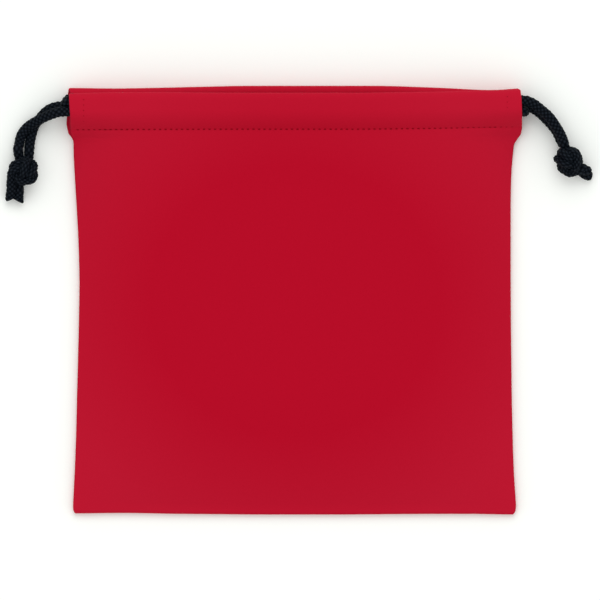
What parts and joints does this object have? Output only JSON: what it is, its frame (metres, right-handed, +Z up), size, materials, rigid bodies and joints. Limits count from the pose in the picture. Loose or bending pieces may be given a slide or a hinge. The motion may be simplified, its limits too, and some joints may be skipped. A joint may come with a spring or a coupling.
{
  "type": "drawstring pouch",
  "caption": "Flat cloth drawstring pouch lying empty on its back, with a sewn casing round its mouth and a braided cord knotted at each side.",
  "frame": {"origin": "on the table, under the middle of the cloth's outline", "axes": "+Z up from the table through the pouch's thickness, +Y towards the pouch's mouth, +X towards the right-hand cord"},
  "size_m": [0.2604, 0.1896, 0.017],
  "materials": {
    "red_cloth": "matt knitted cloth",
    "black_cord": "matt braided cord"
  },
  "bodies": {
    "root": {"pouch_cloth": "red_cloth", "left_cord": "black_cord", "left_knot": "black_cord", "right_cord": "black_cord", "right_knot": "black_cord"}
  },
  "joints": []
}
